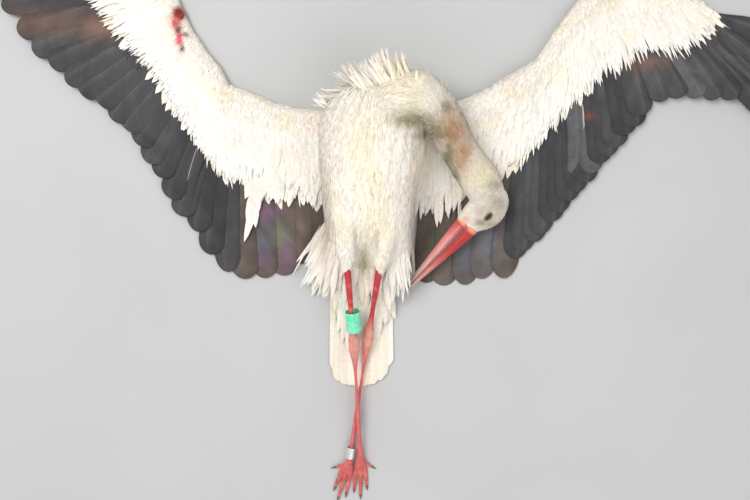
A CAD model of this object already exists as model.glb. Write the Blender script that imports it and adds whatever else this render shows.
"""The looks of a life-size white stork on its back, wings spread and neck folded over its left shoulder.

Metres, +Z up. The belly faces up, the head end lies towards +Y and the bird's own left towards +X. One skin
covers the flesh, and every feather on it is a thin closed vane that follows the lie of the plumage.
"""

import collections
import itertools
import math

import bmesh
import bpy
import numpy as np
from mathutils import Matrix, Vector, noise
from mathutils.bvhtree import BVHTree
from mathutils.kdtree import KDTree


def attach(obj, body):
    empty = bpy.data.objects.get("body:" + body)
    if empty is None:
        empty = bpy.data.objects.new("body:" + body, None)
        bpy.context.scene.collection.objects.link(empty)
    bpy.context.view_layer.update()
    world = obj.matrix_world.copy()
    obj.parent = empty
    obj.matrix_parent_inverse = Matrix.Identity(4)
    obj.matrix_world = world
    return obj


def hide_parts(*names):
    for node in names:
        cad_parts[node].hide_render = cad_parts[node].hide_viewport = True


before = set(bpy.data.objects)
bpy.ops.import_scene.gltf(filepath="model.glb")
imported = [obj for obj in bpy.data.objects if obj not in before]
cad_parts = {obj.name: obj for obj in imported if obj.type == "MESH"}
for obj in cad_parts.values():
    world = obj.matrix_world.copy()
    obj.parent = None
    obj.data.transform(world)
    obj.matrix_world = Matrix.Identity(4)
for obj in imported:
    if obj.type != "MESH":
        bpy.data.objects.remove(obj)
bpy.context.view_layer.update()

ROOT = "root"
UP = np.array((0.0, 0.0, 1.0))
SIDES = {"left": 1, "right": -1}  # towards +X and -X

# ---------------------------------------------------------------- the bird's measures, as in its solids
BONES = (0.192, 0.245, 0.155)  # humerus, ulna and hand
# Arm rows: station, heading of the coverts, depth before the bone and behind it, thickness. Stations run
# from 0 at the shoulder over 1 at the elbow and 2 at the wrist to 3 at the hand tip.
# Flight feathers: share of the way through the group, heading, reach from the bone, how far the tips curl
# up, and the share of the reach at which the slots between the tips begin.
WINGS = {
    "left": {
        "shoulder": (0.112, 0.135), "headings": (13.0, 51.4, -17.0),
        "arm": (
            (-0.2, 268, 0.01, 0.15, 0.042), (0.5, 267, 0.022, 0.152, 0.036),
            (1.0, 265, 0.056, 0.124, 0.03), (1.5, 277, 0.055, 0.098, 0.024),
            (2.0, 293, 0.024, 0.124, 0.02), (2.5, 302, 0.024, 0.106, 0.014),
            (3.1, 322, 0.006, 0.014, 0.008),
        ),
        "tertials": (
            (0.0, 267, 0.325, 0.0, 0.95), (0.5, 266, 0.342, 0.001, 0.95), (1.0, 265.5, 0.348, 0.003, 0.95),
        ),
        "secondaries": (
            (0.0, 266, 0.318, 0.004, 0.955), (0.5, 276, 0.274, 0.008, 0.955),
            (1.0, 285, 0.238, 0.01, 0.955),
        ),
        "primaries": (
            (0.0, 292, 0.224, 0.01, 0.95), (0.2, 302.5, 0.232, 0.014, 0.93),
            (0.4, 311, 0.248, 0.016, 0.92), (0.6, 316.5, 0.335, 0.02, 0.86),
            (0.8, 320.5, 0.392, 0.022, 0.74), (0.92, 323.5, 0.385, 0.022, 0.56),
            (1.0, 339, 0.35, 0.022, 0.44),
        ),
    },
    "right": {
        "shoulder": (-0.064, 0.131), "headings": (174.5, 117.0, 139.7),
        "arm": (
            (-0.2, 270, 0.014, 0.135, 0.042), (0.5, 269, 0.015, 0.146, 0.036),
            (1.0, 263, 0.042, 0.122, 0.03), (1.5, 225, 0.013, 0.09, 0.024), (2.0, 200, 0.018, 0.116, 0.02),
            (2.5, 174, 0.02, 0.088, 0.014), (3.1, 148, 0.008, 0.03, 0.008),
        ),
        "tertials": (
            (0.0, 266, 0.255, 0.0, 0.95), (0.5, 270, 0.308, 0.001, 0.95), (1.0, 271, 0.32, 0.003, 0.95),
        ),
        "secondaries": (
            (0.0, 268, 0.306, 0.004, 0.95), (0.26, 249, 0.238, 0.008, 0.94),
            (0.53, 229, 0.204, 0.01, 0.93), (0.8, 209, 0.24, 0.012, 0.94), (1.0, 194, 0.284, 0.012, 0.95),
        ),
        "primaries": (
            (0.0, 188, 0.288, 0.012, 0.95), (0.3, 177, 0.305, 0.016, 0.92), (0.6, 165, 0.365, 0.02, 0.84),
            (0.8, 157, 0.4, 0.022, 0.72), (0.92, 152, 0.39, 0.022, 0.62), (1.0, 145, 0.34, 0.022, 0.6),
        ),
    },
}
# Flight feathers: name, count, first and last station, half width.
FLIGHTS = (
    ("tertials", 5, 0.1, 0.92, 0.026), ("secondaries", 16, 1.0, 1.95, 0.024),
    ("primaries", 11, 2.04, 3.0, 0.021),
)
UNDER_COVERTS, COVERT_MARGIN = 0.6, 0.01
# Neck: the middle line, from inside the breast to inside the head.
NECK = (
    (0.018, 0.085, 0.1), (0.04, 0.148, 0.108), (0.072, 0.171, 0.106), (0.108, 0.156, 0.098),
    (0.137, 0.119, 0.086), (0.16, 0.08, 0.07), (0.185, 0.043, 0.056), (0.207, 0.013, 0.044),
    (0.22, -0.012, 0.036),
)
BILL_ROOT, BILL_HEADING, BILL_DIP = (0.182, -0.0655, 0.0335), -132.6, -1.6
BILL_START, BILL_LENGTH = 0.0044, 0.163
# Bill: share of its length, half width, height of the upper and of the lower mandible.
BILL = (
    (0.0, 0.0124, 0.0218, 0.0195), (0.25, 0.0098, 0.0176, 0.0162), (0.6, 0.0062, 0.0108, 0.0106),
    (0.9, 0.003, 0.0045, 0.0052), (1.0, 0.001, 0.0016, 0.0016),
)
EYE_U, EYE_V, EYE_W, EYE_RADIUS = -0.0395, 0.015, 0.016, 0.0086
TAIL_ROOT, TAIL_LENGTH, TAIL_HALF_WIDTH = (-0.011, -0.118), 0.261, 0.047
TAIL_COUNT, TAIL_HEADING, TAIL_SPREAD = 12, -90.2, 1.5
LEGS = {
    "right": {
        "knee": (-0.035, -0.02, 0.122), "garter": (-0.036, -0.148, 0.078),
        "ankle": (-0.0245, -0.288, 0.043), "ball": (-0.0134, -0.52, 0.0125), "toes": -90.2,
    },
    "left": {
        "knee": (0.036, -0.02, 0.122), "garter": (0.024, -0.148, 0.078), "ankle": (0.0016, -0.28, 0.019),
        "ball": (-0.0352, -0.528, 0.0085), "toes": -106.0,
    },
}
# Share of the way along each bone, half width, half height.
SHANK = (
    (0.0, 0.007, 0.0066), (0.3, 0.006, 0.0058), (0.78, 0.0058, 0.0058), (0.9, 0.0088, 0.0085),
    (1.0, 0.0104, 0.01),
)
TARSUS = (
    (0.0, 0.0104, 0.01), (0.05, 0.0098, 0.0096), (0.14, 0.0056, 0.0064), (0.6, 0.0043, 0.0053),
    (0.9, 0.0048, 0.0054), (1.0, 0.0068, 0.0062),
)
BALL = ((0.0, 0.0068, 0.0062), (0.008, 0.0096, 0.0066), (0.016, 0.0116, 0.0054), (0.026, 0.0124, 0.004))
TOES = (
    ("inner", -0.0092, -5.0, 0.036, 0.0043), ("middle", 0.0, 0.0, 0.054, 0.0043),
    ("outer", 0.0092, 5.0, 0.042, 0.0043),
)
HIND_TOE = ("hind", 0.0, -57.0, 0.027, 0.0036)
CLAW_LENGTH = 0.010
# Where a leg runs over feathers, and how far these keep below its middle line within reach of it.
LEG_CLEARANCE = (("garter", "ankle", 0.0125), ("ankle", "ball", 0.0105))
LEG_REACH, PRESSED_LOWEST = 0.022, 0.0045
GREEN_RING = {
    "tall": 0.040, "outer": 0.0145, "wall": 0.0013, "turns": 1.18, "gap": 0.6, "share": 0.665,
    "hang": (0.0035, 0, -0.0042), "slot": "green_plastic", "look": "plastic",
}
METAL_RING = {
    "tall": 0.022, "outer": 0.0085, "wall": 0.0010, "turns": 1.0, "gap": 0.12, "share": 0.925,
    "hang": (0, 0, 0), "slot": "pale_metal", "look": "metal",
}

# ---------------------------------------------------------------- colours, linear
CREAM, WARM, ROSY = (0.9, 0.84, 0.74), (0.9, 0.79, 0.57), (0.9, 0.77, 0.68)
COOL = (0.9, 0.91, 0.9)
TAN, OLIVE, GREYISH, BROWN = (0.52, 0.27, 0.14), (0.3, 0.25, 0.13), (0.36, 0.31, 0.24), (0.22, 0.15, 0.1)
BLOOD, RAW_PINK, GAPE_PINK = (0.26, 0.03, 0.018), (0.72, 0.12, 0.14), (0.8, 0.33, 0.2)
SHADE, SCAB = (0.5, 0.38, 0.31), (0.16, 0.075, 0.07)
# Stains and warm patches on the plumage: middle, radii, colour, strength.
STAINS = (
    ((0.148, 0.106, 0.11), (0.024, 0.036, 0.06), TAN, 1.1),
    ((0.169, 0.064, 0.09), (0.018, 0.036, 0.05), TAN, 1.05),
    ((0.08, 0.124, 0.15), (0.038, 0.013, 0.05), OLIVE, 1.2),
    ((0.112, 0.106, 0.13), (0.024, 0.02, 0.05), OLIVE, 1.2),
    ((0.136, 0.146, 0.13), (0.014, 0.014, 0.034), OLIVE, 0.8),
    ((0.104, 0.098, 0.125), (0.03, 0.006, 0.05), BROWN, 0.8),
    ((0.143, 0.06, 0.08), (0.011, 0.036, 0.05), OLIVE, 1.15),
    ((0.157, 0.018, 0.06), (0.009, 0.034, 0.04), OLIVE, 0.95),
    ((0.222, -0.036, 0.05), (0.03, 0.024, 0.04), (0.48, 0.4, 0.31), 0.75),
    ((0.212, 0.036, 0.08), (0.034, 0.04, 0.05), WARM, 0.85),
    ((0.06, 0.19, 0.14), (0.05, 0.04, 0.05), WARM, 0.85),
    ((-0.01, 0.09, 0.17), (0.03, 0.07, 0.04), WARM, 0.8),
    ((0.01, -0.04, 0.15), (0.024, 0.07, 0.04), WARM, 0.75),
    ((-0.006, -0.125, 0.08), (0.012, 0.048, 0.06), OLIVE, 0.85),
    ((-0.02, -0.08, 0.11), (0.005, 0.026, 0.04), GREYISH, 0.6),
    ((0.017, -0.085, 0.11), (0.004, 0.024, 0.04), GREYISH, 0.5),
    ((-0.073, -0.06, 0.07), (0.012, 0.13, 0.08), SHADE, 0.8),
    ((0.082, -0.06, 0.07), (0.01, 0.11, 0.08), SHADE, 0.55),
    ((0.034, -0.15, 0.07), (0.007, 0.03, 0.05), GREYISH, 0.3),
    ((-0.06, -0.13, 0.08), (0.016, 0.06, 0.06), ROSY, 0.6),
    ((0.238, -0.022, 0.06), (0.02, 0.018, 0.03), GREYISH, 0.8),
    ((0.228, 0.01, 0.066), (0.014, 0.011, 0.03), OLIVE, 0.62),
    ((0.219, -0.06, 0.05), (0.024, 0.01, 0.03), GREYISH, 0.62),
    ((0.205, -0.059, 0.05), (0.009, 0.007, 0.03), BROWN, 0.55),
    ((0.206, -0.037, 0.05), (0.008, 0.008, 0.03), GREYISH, 0.4),
    ((0.179, -0.054, 0.045), (0.008, 0.009, 0.03), GAPE_PINK, 0.6),
    ((-0.337, 0.3, 0.03), (0.015, 0.03, 0.05), ROSY, 1.0),
    ((-0.335, 0.313, 0.03), (0.01, 0.012, 0.05), BLOOD, 1.8),
    ((-0.342, 0.297, 0.03), (0.007, 0.009, 0.05), RAW_PINK, 1.5),
    ((-0.337, 0.284, 0.03), (0.006, 0.008, 0.05), SCAB, 1.4),
    ((-0.327, 0.276, 0.03), (0.008, 0.004, 0.05), SCAB, 1.0),
    ((-0.336, 0.268, 0.03), (0.005, 0.011, 0.05), RAW_PINK, 1.7),
    ((-0.331, 0.252, 0.03), (0.004, 0.008, 0.05), SCAB, 1.3),
    ((0.44, 0.25, 0.03), (0.02, 0.008, 0.03), ROSY, 0.9),
    ((0.51, 0.226, 0.03), (0.03, 0.008, 0.03), TAN, 0.35),
)
# Worn and stained places on the dark feathers, in the same way.
RUST, PLUM, MOSS, SLATE = (
    (0.2, 0.095, 0.06), (0.17, 0.085, 0.16), (0.12, 0.15, 0.085), (0.1, 0.11, 0.135),
)
DARK_STAINS = (
    ((0.475, 0.228, 0.01), (0.06, 0.014, 0.1), RUST, 0.85),
    ((0.407, 0.133, 0.01), (0.005, 0.006, 0.1), (0.3, 0.03, 0.03), 0.8),
    ((-0.475, 0.292, 0.01), (0.05, 0.02, 0.1), RUST, 0.7),
    ((-0.6, 0.3, 0.01), (0.09, 0.022, 0.1), RUST, 0.5),
    ((-0.18, -0.048, 0.01), (0.022, 0.014, 0.1), PLUM, 1.1),
    ((-0.15, -0.12, 0.01), (0.01, 0.04, 0.1), PLUM, 0.9),
    ((-0.16, -0.08, 0.01), (0.016, 0.026, 0.1), MOSS, 0.85),
    ((-0.19, -0.1, 0.01), (0.013, 0.03, 0.1), SLATE, 0.95),
    ((-0.19, -0.136, 0.01), (0.012, 0.012, 0.1), PLUM, 0.8),
    ((-0.124, -0.06, 0.01), (0.012, 0.05, 0.1), (0.2, 0.14, 0.11), 0.8),
    ((0.13, -0.1, 0.01), (0.02, 0.03, 0.1), MOSS, 0.5),
    ((0.18, -0.12, 0.01), (0.02, 0.05, 0.1), SLATE, 0.7),
    ((0.225, -0.1, 0.01), (0.02, 0.05, 0.1), SLATE, 0.8),
)

# ---------------------------------------------------------------- sums and colours


def read(table, x):
    """The columns of table after its first, read at x on a smooth curve through its rows."""
    rows = np.array(table, float)
    knots, values = rows[:, 0], rows[:, 1:]
    slopes = np.gradient(values, knots, axis=0)
    x = np.clip(x, knots[0], knots[-1])
    k = min(int(np.searchsorted(knots, x, side="right")) - 1, len(knots) - 2)
    step = knots[k + 1] - knots[k]
    s = (x - knots[k]) / step
    return (
        (2 * s**3 - 3 * s**2 + 1) * values[k]
        + (s**3 - 2 * s**2 + s) * step * slopes[k]
        + (3 * s**2 - 2 * s**3) * values[k + 1]
        + (s**3 - s**2) * step * slopes[k + 1]
    )


def columns(table, x):
    """The columns of table after its first at every x, as straight lines between its rows."""
    rows = np.array(table, float)
    return np.stack([np.interp(x, rows[:, 0], rows[:, c]) for c in range(1, rows.shape[1])], axis=-1)


def way(heading):
    """The level unit vector at this heading, in degrees anticlockwise from +X."""
    turn = math.radians(heading)
    return np.array((math.cos(turn), math.sin(turn), 0.0))


def unit(vectors):
    vectors = np.asarray(vectors, float)
    return vectors / np.maximum(np.linalg.norm(vectors, axis=-1, keepdims=True), 1e-12)


def crossways(direction):
    """Vectors square to a direction: level to its right, and upwards."""
    side = unit(np.cross(direction, UP))
    return side, np.cross(side, direction)


def square_to(vectors, others):
    """The vectors turned as little as it takes to stand square to the others, as unit vectors."""
    return unit(vectors - (vectors * others).sum(axis=-1, keepdims=True) * others)


def smooth_step(low, high, x):
    s = np.clip((np.asarray(x, float) - low) / (high - low), 0, 1)
    return s * s * (3 - 2 * s)


def turns_of(count):
    """This many angles, evenly round a full turn."""
    return np.arange(count) * 2 * math.pi / count


def together(*values):
    """Arrays of all these values at each place, whatever their shapes have in common."""
    return np.stack(np.broadcast_arrays(*values), axis=-1)


def bell(x, width):
    """1 where x is 0, falling off over this width on both sides."""
    return np.exp(-((x / width) ** 2))


def waver(points, size, seed=0.0):
    """Smooth noise from -1 to 1 at each point, its lumps about size across."""
    return np.array([noise.noise(Vector(p) / size + Vector((seed, 0.37 * seed, -seed))) for p in points])


def mixed(first, second, share):
    share = np.asarray(share)[..., None]
    return np.asarray(first) * (1 - share) + np.asarray(second) * share


def bare_plumage(points):
    """The colour of clean plumage at each point, and how uneven a stain is there."""
    tint = mixed(CREAM, WARM, 0.60 * smooth_step(0.0, 0.5, waver(points, 0.050)))
    tint = mixed(tint, ROSY, 0.60 * smooth_step(0.05, 0.5, waver(points, 0.060, 5.0)))
    return tint, 1 + 0.40 * waver(points, 0.010, 9.0)


def stained(tint, points, stains, uneven=1.0):
    """Colours with these stains over them."""
    points = np.asarray(points, float)
    for middle, radii, colour, strength in stains:
        away = (((points - middle) / radii) ** 2).sum(axis=-1)
        tint = mixed(tint, colour, np.clip(strength * uneven * np.exp(-away), 0, 1))
    return np.clip(tint, 0, 1)


def plumage(points):
    """The colour of the white plumage at each point, with its stains."""
    tint, uneven = bare_plumage(points)
    return stained(tint, points, STAINS, uneven)


# ---------------------------------------------------------------- meshes


def hand_in(made, slot, *replaced):
    """Gives a piece its body, the nodes that it stands for and its material slot."""
    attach(made, ROOT)
    if replaced:
        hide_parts(*replaced)


def placed(name, mesh, finish=None):
    """A smooth object of this mesh, in the scene."""
    made = bpy.data.objects.new(name, mesh)
    bpy.context.scene.collection.objects.link(made)
    mesh.shade_smooth()
    mesh.materials.clear()
    if finish:
        mesh.materials.append(finish)
    return made


def paint(mesh, tint):
    """Gives each point of the mesh its colour."""
    rgba = np.ones((len(mesh.vertices), 4))
    rgba[:, :3] = np.reshape(tint, (-1, 3))
    mesh.color_attributes.new("tint", "FLOAT_COLOR", "POINT").data.foreach_set("color", rgba.ravel())


def build_mesh(name, points, faces, finish, tint=None, lie=None, patch=None, normals=None):
    """An object from arrays: four-cornered faces, and colour, lie, bake place and normal by point."""
    points, faces = np.reshape(points, (-1, 3)), np.asarray(faces, int)
    mesh = bpy.data.meshes.new(name)
    mesh.vertices.add(len(points))
    mesh.vertices.foreach_set("co", points.ravel())
    mesh.loops.add(faces.size)
    mesh.loops.foreach_set("vertex_index", faces.ravel())
    mesh.polygons.add(len(faces))
    mesh.polygons.foreach_set("loop_start", np.arange(0, faces.size, 4))
    mesh.update(calc_edges=True)
    made = placed(name, mesh, finish)
    if tint is not None:
        paint(mesh, tint)
    if lie is not None:
        mesh.attributes.new("lie", "FLOAT_VECTOR", "POINT").data.foreach_set("vector", np.ravel(lie))
    if patch is not None:
        corners = np.reshape(patch, (-1, 2))[faces.ravel()]
        mesh.uv_layers.new(name="OFBake").data.foreach_set("uv", corners.ravel())
    if normals is not None:
        mesh.normals_split_custom_set_from_vertices(unit(np.reshape(normals, (-1, 3))).tolist())
    return made


def numbers_of(items, key, wide=3, kind=float):
    """One property of every vertex, normal, edge or loop, as rows of this many numbers."""
    flat = np.empty(len(items) * wide, kind)
    items.foreach_get(key, flat)
    return flat.reshape(-1, wide)


def points_of(mesh):
    return numbers_of(mesh.vertices, "co")


def normals_of(mesh):
    return numbers_of(mesh.vertex_normals, "vector")


def lift_over(mesh, points, lowest):
    """Puts the mesh's vertices at these points, but none below lowest."""
    points[:, 2] = np.maximum(points[:, 2], lowest)
    mesh.vertices.foreach_set("co", points.ravel())
    mesh.update()


def mesh_from(bm, name):
    """A mesh of this name from bm, which is used up."""
    mesh = bpy.data.meshes.new(name)
    bm.to_mesh(mesh)
    bm.free()
    return mesh


def tree_of(*meshes):
    """A search tree over all these meshes."""
    points, faces = [], []
    for mesh in meshes:
        start = len(points)
        points += [tuple(v.co) for v in mesh.vertices]
        faces += [tuple(start + i for i in p.vertices) for p in mesh.polygons]
    return BVHTree.FromPolygons(points, faces)


def fused(name, meshes, voxel, rounds, finish):
    """One closed mesh round all the given ones, remeshed in cubes of voxel and smoothed."""
    bm = bmesh.new()
    for mesh in meshes:
        bm.from_mesh(mesh)
    made = placed(name, mesh_from(bm, name))
    remesh = made.modifiers.new("remesh", "REMESH")
    remesh.mode = "VOXEL"
    remesh.voxel_size = voxel
    smooth = made.modifiers.new("smooth", "SMOOTH")
    smooth.factor = 0.5
    smooth.iterations = rounds
    bpy.context.view_layer.update()
    final = bpy.data.meshes.new_from_object(made.evaluated_get(bpy.context.evaluated_depsgraph_get()))
    made.modifiers.clear()
    made.data = final
    final.shade_smooth()
    final.materials.clear()
    final.materials.append(finish)
    return made


def tidied(made, angle):
    """Fills holes and turns all faces outwards. Edges sharper than angle stay sharp."""
    bm = bmesh.new()
    bm.from_mesh(made.data)
    bmesh.ops.holes_fill(bm, edges=bm.edges)
    bmesh.ops.recalc_face_normals(bm, faces=bm.faces)
    bm.to_mesh(made.data)
    bm.free()
    made.data.shade_smooth()
    made.data.set_sharp_from_angle(angle=math.radians(angle))
    return made


def ring_faces(rings, count, ends=False, closed=False):
    """Faces of a tube of rings of count points, its ends closed by strips, or its last ring joined to its
    first."""
    index = np.arange(rings * count).reshape(rings, count)
    ahead = np.roll(index, -1, axis=0)
    faces = np.stack((index, np.roll(index, -1, axis=1), np.roll(ahead, -1, axis=1), ahead), axis=-1)
    faces = faces[: rings if closed else rings - 1].reshape(-1, 4)
    if ends:
        half = np.arange(count // 2 - 1)
        strip = np.stack((half, half + 1, count - 2 - half, count - 1 - half), axis=-1)
        faces = np.concatenate((faces, strip[:, ::-1], strip + (rings - 1) * count))
    return faces


# ---------------------------------------------------------------- finishes


class Finish:
    """A material under construction, with short calls for the nodes it needs."""

    def __init__(self, name, roughness, settings):
        self.material = bpy.data.materials.new(name)
        self.material.use_nodes = True
        self.tree = self.material.node_tree
        self.shader = self.tree.nodes["Principled BSDF"]
        self.shader.inputs["Roughness"].default_value = roughness
        for socket, value in settings.items():
            self.shader.inputs[socket].default_value = value

    def feed(self, socket, value):
        if isinstance(value, bpy.types.NodeSocket):
            self.tree.links.new(value, socket)
        elif value is not None:
            socket.default_value = value

    def node(self, kind, inputs=(), **properties):
        made = self.tree.nodes.new("ShaderNode" + kind)
        for key, value in properties.items():
            setattr(made, key, value)
        for socket, value in dict(inputs).items():
            self.feed(made.inputs[socket], value)
        return made

    def attribute(self, name, output):
        return self.node("Attribute", attribute_name=name).outputs[output]

    def place(self, stretch=None, along=False):
        """The place on the object, or along the feather, stretched."""
        found = self.attribute("lie", "Vector") if along else self.node("TexCoord").outputs["Object"]
        return self.node("Mapping", {"Vector": found, "Scale": stretch}).outputs[0] if stretch else found

    def maths(self, operation, *values):
        return self.node("Math", dict(enumerate(values)), operation=operation).outputs[0]

    def noise(self, scale, detail=3.0, place=None):
        inputs = {"Scale": scale, "Detail": detail, "Vector": self.place() if place is None else place}
        return self.node("TexNoise", inputs).outputs["Fac"]

    def ramp(self, factor, low, high, start=0.3, end=0.7):
        inputs = {"Value": factor, "From Min": start, "From Max": end, "To Min": low, "To Max": high}
        return self.node("MapRange", inputs).outputs["Result"]

    def mix(self, factor, first, second):
        return self.node("Mix", {0: factor, 6: first, 7: second}, data_type="RGBA").outputs[2]

    def tinted(self, factor):
        """The mesh's own colour, scaled by factor."""
        inputs = {0: self.attribute("tint", "Color"), "Scale": factor}
        return self.node("VectorMath", inputs, operation="SCALE").outputs[0]

    def bump(self, height, distance, strength=1.0, normal=None):
        inputs = {"Height": height, "Distance": distance, "Strength": strength, "Normal": normal}
        return self.node("Bump", inputs).outputs["Normal"]

    def finish(self, colour, normal=None, roughness=None):
        for socket, value in (("Base Color", colour), ("Normal", normal), ("Roughness", roughness)):
            self.feed(self.shader.inputs[socket], value)
        return self.material


BARB_SLANT = 0.8  # how far a barb runs on along the shaft for each step out from it


def feather_look(name, roughness, settings, pitch, worn, along, tone, streaked, ridges, rough=None):
    """Fine barbs slanting out from each vane's shaft, with streaks along them and worn patches.
    worn is the patches' noise, tone and streaked are how far patches and streaks darken or lighten, and
    ridges the depths of the barbs and the streaks and the strength of both."""
    made = Finish(name, roughness, settings)
    lie = made.node("SeparateXYZ", {0: made.place(along=True)}).outputs
    out = made.maths("MULTIPLY", made.maths("ABSOLUTE", lie["X"]), BARB_SLANT)
    place = made.node("CombineXYZ", {"X": made.maths("SUBTRACT", lie["Y"], out), "Y": lie["Z"]}).outputs[0]
    waves = {"Vector": place, "Scale": math.pi / (10 * pitch), "Distortion": 0.6, "Detail": 1.0}
    fine, streaks = made.node("TexWave", waves).outputs["Fac"], made.noise(330.0, 2.0, place)
    patches = made.noise(*worn, made.place(along=along))
    uneven = made.maths("MULTIPLY", made.ramp(patches, *tone), made.ramp(streaks, *streaked))
    depth, streak_depth, strength = ridges
    normal = made.bump(fine, depth, strength, made.bump(streaks, streak_depth, strength))
    return made.finish(made.tinted(uneven), normal, rough and made.ramp(streaks, *rough))


def grainy_look(name, roughness, settings, grain, tone, shades=None, bump=None, rough=None):
    """One noise, grain, for the colour between shades or over the mesh's own, the bumps and the gloss."""
    made = Finish(name, roughness, settings)
    grains = made.noise(*grain)
    factor = made.ramp(grains, *tone)
    colour = made.mix(factor, *shades) if shades else made.tinted(factor)
    return made.finish(colour, bump and made.bump(grains, *bump), rough and made.ramp(grains, *rough))


def horn():
    settings = {"Specular IOR Level": 0.5, "Coat Weight": 0.15, "Coat Roughness": 0.25}
    made = Finish("bill_look", 0.36, settings)
    lines = made.noise(700.0, 5.0, made.place((1.0, 0.10, 1.0), along=True))
    specks = made.ramp(made.noise(430.0), 0.0, 0.40, 0.63, 0.72)
    colour = made.mix(specks, made.tinted(made.ramp(lines, 0.72, 1.18)), (0.80, 0.27, 0.08, 1.0))
    return made.finish(colour, made.bump(lines, 0.00025, 0.6), made.ramp(lines, 0.30, 0.48))


def leg_skin():
    made = Finish("leg_skin_look", 0.48, {"Specular IOR Level": 0.45, "Subsurface Weight": 0.08})
    made.shader.inputs["Subsurface Radius"].default_value = (0.004, 0.0012, 0.0008)
    cells = made.node("TexVoronoi", {"Scale": 430.0, "Vector": made.place()}, feature="DISTANCE_TO_EDGE")
    seams = made.ramp(cells.outputs["Distance"], 0.0, 1.0, 0.0, 0.16)
    blotches = made.tinted(made.ramp(made.noise(95.0, 4.0), 0.80, 1.15))
    colour = made.mix(made.ramp(seams, 0.35, 0.0, 0.0, 1.0), blotches, (0.36, 0.05, 0.05, 1.0))
    return made.finish(colour, made.bump(seams, 0.0004, 0.8), made.ramp(seams, 0.62, 0.42, 0.0, 1.0))


def ring_plastic():
    made = Finish("green_plastic_look", 0.30, {"Specular IOR Level": 0.5, "Coat Weight": 0.3})
    worn = made.noise(140.0, 5.0)
    colour = made.mix(made.ramp(worn, 0.0, 0.8, 0.45, 0.72), (0.12, 0.72, 0.40, 1), (0.42, 0.84, 0.64, 1))
    scratches = made.noise(1500.0, 2.0, made.place((1, 0.1, 1)))
    return made.finish(colour, made.bump(scratches, 0.0001, 0.4), made.ramp(worn, 0.22, 0.45))


LOOKS = {
    "white": feather_look(
        "white_plumage_look", 0.72,
        {"Sheen Weight": 0.25, "Sheen Roughness": 0.5, "Specular IOR Level": 0.25},
        0.0008, (160.0, 3.0), False, (0.93, 1.05), (0.95, 1.04), (0.00012, 0.0004, 0.5),
    ),
    "dark": feather_look(
        "black_feather_look", 0.5, {"Specular IOR Level": 0.40, "Sheen Weight": 0.10}, 0.0009,
        (26.0, 4.0), True, (0.70, 1.35), (0.72, 1.30), (0.00016, 0.0005, 0.6), (0.42, 0.62),
    ),
    "skin": grainy_look(
        "skin_look", 0.8, {"Sheen Weight": 0.2}, (420.0, 4.0), (0.86, 1.02), None, (0.0012, 0.5)
    ),
    "orbit": grainy_look(
        "orbit_look", 0.55, {"Specular IOR Level": 0.4}, (900.0, 4.0), (0.75, 1.2), None, (0.0004, 0.7)
    ),
    "claw": grainy_look(
        "claw_look", 0.34, {"Specular IOR Level": 0.5}, (600.0, 3.0), (0.0, 1.0, 0.35, 0.65),
        ((0.10, 0.055, 0.045, 1), (0.26, 0.12, 0.09, 1)), (0.0002, 0.5),
    ),
    "eye": grainy_look(
        "eye_look", 0.09, {"Specular IOR Level": 0.55}, (900.0, 3.0), (0.0, 1.0, 0.4, 0.7),
        ((0.008, 0.006, 0.005, 1), (0.035, 0.020, 0.012, 1)),
    ),
    "metal": grainy_look(
        "pale_metal_look", 0.38, {"Metallic": 0.75}, (260.0, 5.0), (0.0, 0.7, 0.45, 0.7),
        ((0.80, 0.80, 0.74, 1), (0.62, 0.62, 0.55, 1)), (0.0003, 0.4), (0.30, 0.55),
    ),
    "floor": grainy_look(
        "floor_look", 0.85, {}, (3.0, 3.0), (0.0, 1.0), ((0.50, 0.50, 0.49, 1), (0.53, 0.53, 0.52, 1))
    ),
    "horn": horn(),
    "leg": leg_skin(),
    "plastic": ring_plastic(),
}


# ---------------------------------------------------------------- bones and frames


def bone_point(side, station):
    """The place on a wing's bones at this station."""
    joints = [np.array((*WINGS[side]["shoulder"], 0.0))]
    for length, heading in zip(BONES, WINGS[side]["headings"]):
        joints.append(joints[-1] + length * way(heading))
    k = bone_at(station)
    return joints[k] + (station - k) * (joints[k + 1] - joints[k])


def bone_at(station):
    return min(max(int(station), 0), 2)


def head_frame():
    """Unit vectors of the head: along the bill, to the crown, and out of its right side."""
    dip = math.radians(BILL_DIP)
    forward = way(BILL_HEADING) * math.cos(dip) + math.sin(dip) * UP
    crown = way(BILL_HEADING + 90)
    return forward, crown, np.cross(forward, crown)


def head_point(u, v, w=0.0):
    forward, crown, right = head_frame()
    return np.array(BILL_ROOT) + u * forward + v * crown + w * right


# ---------------------------------------------------------------- skin and the lie of the plumage

FLESH = {
    "trunk": ("trunk",), "neck": ("neck_lower", "neck_middle", "neck_upper"), "head": ("head",),
    "thigh_left": ("thigh_left",), "thigh_right": ("thigh_right",),
    "wing_left": ("wing_left_upper_arm", "wing_left_forearm", "wing_left_hand"),
    "wing_right": ("wing_right_upper_arm", "wing_right_forearm", "wing_right_hand"),
}
REGIONS = list(FLESH)
SKIN_VOXEL, SKIN_ROUNDS = 0.0029, 6
COAT_DEPTH = {"trunk": 0.0045, "neck": 0.003, "head": 0.0016, "thigh_left": 0.003, "thigh_right": 0.003}
WING_DEPTH = 0.0014
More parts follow.
